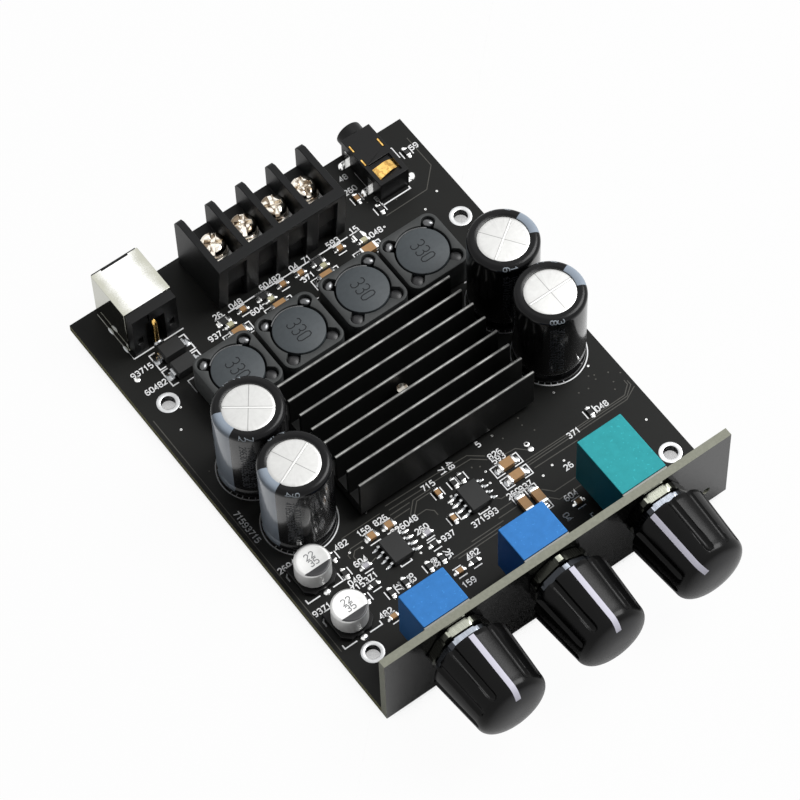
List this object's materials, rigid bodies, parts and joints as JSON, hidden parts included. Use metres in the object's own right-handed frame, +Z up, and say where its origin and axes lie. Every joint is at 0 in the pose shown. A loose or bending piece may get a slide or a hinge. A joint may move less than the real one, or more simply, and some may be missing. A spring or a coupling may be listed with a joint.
{
  "type": "audio amplifier board",
  "caption": "Open-frame audio amplifier board with an upright control panel, three fluted knobs, finned heat sink, barrier screw terminal, power jack and audio jack",
  "frame": {"origin": "centre of the four mounting holes on the board's underside", "axes": "+Z up out of the component side, -Y out of the front panel towards the knobs, +Y towards the sockets, +X to the right seen from the front"},
  "size_m": [0.07, 0.1103, 0.0228],
  "materials": {
    "solder_mask": "black solder mask on a glass-fibre board",
    "panel_mask": "dark solder mask on a glass-fibre panel",
    "nut_metal": "bright nickel plate",
    "frame_metal": "plain zinc metal",
    "tin": "tinned metal",
    "nickel": "polished nickel",
    "gold": "gold-coloured spring metal",
    "terminal_plastic": "black moulded plastic",
    "black_plastic": "black moulded plastic",
    "knob_plastic": "glossy black plastic",
    "white_inlay": "white plastic",
    "blue_plastic": "blue moulded plastic",
    "teal_plastic": "teal moulded plastic",
    "shield_ferrite": "dark grey ferrite",
    "drum_ferrite": "blue-grey ferrite",
    "can_aluminium": "bright aluminium",
    "sleeve_plastic": "black heat-shrink sleeve",
    "black_anodised": "black anodised",
    "chip_plastic": "black moulding compound",
    "chip_ceramic": "tan ceramic",
    "thermal_rubber": "grey thermal pad"
  },
  "bodies": {
    "board": {"main_board": "solder_mask", "front_panel": "panel_mask", "panel_nuts": "nut_metal", "pot_pins": "tin", "bass_body": "blue_plastic", "bass_frame": "frame_metal", "treble_body": "blue_plastic", "treble_frame": "frame_metal", "volume_body": "teal_plastic", "volume_frame": "frame_metal", "terminal_housing": "terminal_plastic", "terminal_contacts": "tin", "dc_housing": "black_plastic", "dc_shield": "nickel", "dc_pin": "gold", "dc_spring": "gold", "audio_housing": "black_plastic", "audio_contacts": "gold", "inductor_1": "shield_ferrite", "inductor_2": "shield_ferrite", "inductor_3": "shield_ferrite", "inductor_4": "shield_ferrite", "inductor_drums": "drum_ferrite", "inductor_posts": "tin", "sleeve_1": "sleeve_plastic", "sleeve_2": "sleeve_plastic", "sleeve_3": "sleeve_plastic", "sleeve_4": "sleeve_plastic", "capacitor_cans": "can_aluminium", "capacitor_leads": "tin", "heatsink": "black_anodised", "heatsink_screw": "nickel", "amplifier_chip": "chip_plastic", "thermal_pad": "thermal_rubber", "small_cans": "can_aluminium", "small_can_bases": "black_plastic", "signal_chips": "chip_plastic", "diodes": "chip_plastic", "chip_leads": "tin", "chip_capacitors": "chip_ceramic", "chip_resistors": "chip_plastic", "chip_ends": "tin"},
    "bass_control": {"bass_shaft": "frame_metal", "bass_knob": "knob_plastic", "bass_pointer": "white_inlay"},
    "treble_control": {"treble_shaft": "frame_metal", "treble_knob": "knob_plastic", "treble_pointer": "white_inlay"},
    "volume_control": {"volume_shaft": "frame_metal", "volume_knob": "knob_plastic", "volume_pointer": "white_inlay"},
    "clamp_1": {"washer_1": "nickel"},
    "driver_1": {"screw_1": "nickel"},
    "clamp_2": {"washer_2": "nickel"},
    "driver_2": {"screw_2": "nickel"},
    "clamp_3": {"washer_3": "nickel"},
    "driver_3": {"screw_3": "nickel"},
    "clamp_4": {"washer_4": "nickel"},
    "driver_4": {"screw_4": "nickel"}
  },
  "joints": [
    {"name": "bass_turn", "type": "hinge", "parent": "board", "child": "bass_control", "pos_m": [-0.02158, -0.05016, 0.0126], "axis": [0, 1, 0], "range_deg": [-150, 150]},
    {"name": "treble_turn", "type": "hinge", "parent": "board", "child": "treble_control", "pos_m": [-0.00158, -0.05016, 0.0126], "axis": [0, 1, 0], "range_deg": [-150, 150]},
    {"name": "volume_turn", "type": "hinge", "parent": "board", "child": "volume_control", "pos_m": [0.01842, -0.05016, 0.0126], "axis": [0, 1, 0], "range_deg": [-121, 179]},
    {"name": "clamp_1_lift", "type": "slide", "parent": "board", "child": "clamp_1", "axis": [0, 0, 1], "range_m": [0, 0.003]},
    {"name": "screw_1_turn", "type": "hinge", "parent": "clamp_1", "child": "driver_1", "pos_m": [-0.00963, 0.04524, 0.01], "axis": [0, 0, 1], "range_deg": [0, 2160]},
    {"name": "clamp_2_lift", "type": "slide", "parent": "board", "child": "clamp_2", "axis": [0, 0, 1], "range_m": [0, 0.003]},
    {"name": "screw_2_turn", "type": "hinge", "parent": "clamp_2", "child": "driver_2", "pos_m": [-0.00333, 0.04524, 0.01], "axis": [0, 0, 1], "range_deg": [0, 2160]},
    {"name": "clamp_3_lift", "type": "slide", "parent": "board", "child": "clamp_3", "axis": [0, 0, 1], "range_m": [0, 0.003]},
    {"name": "screw_3_turn", "type": "hinge", "parent": "clamp_3", "child": "driver_3", "pos_m": [0.00297, 0.04524, 0.01], "axis": [0, 0, 1], "range_deg": [0, 2160]},
    {"name": "clamp_4_lift", "type": "slide", "parent": "board", "child": "clamp_4", "axis": [0, 0, 1], "range_m": [0, 0.003]},
    {"name": "screw_4_turn", "type": "hinge", "parent": "clamp_4", "child": "driver_4", "pos_m": [0.00927, 0.04524, 0.01], "axis": [0, 0, 1], "range_deg": [0, 2160]}
  ],
  "couplings": [
    {"joint": "screw_1_turn", "follows": "clamp_1_lift", "rad_per_m": 12566},
    {"joint": "screw_2_turn", "follows": "clamp_2_lift", "rad_per_m": 12566},
    {"joint": "screw_3_turn", "follows": "clamp_3_lift", "rad_per_m": 12566},
    {"joint": "screw_4_turn", "follows": "clamp_4_lift", "rad_per_m": 12566}
  ]
}
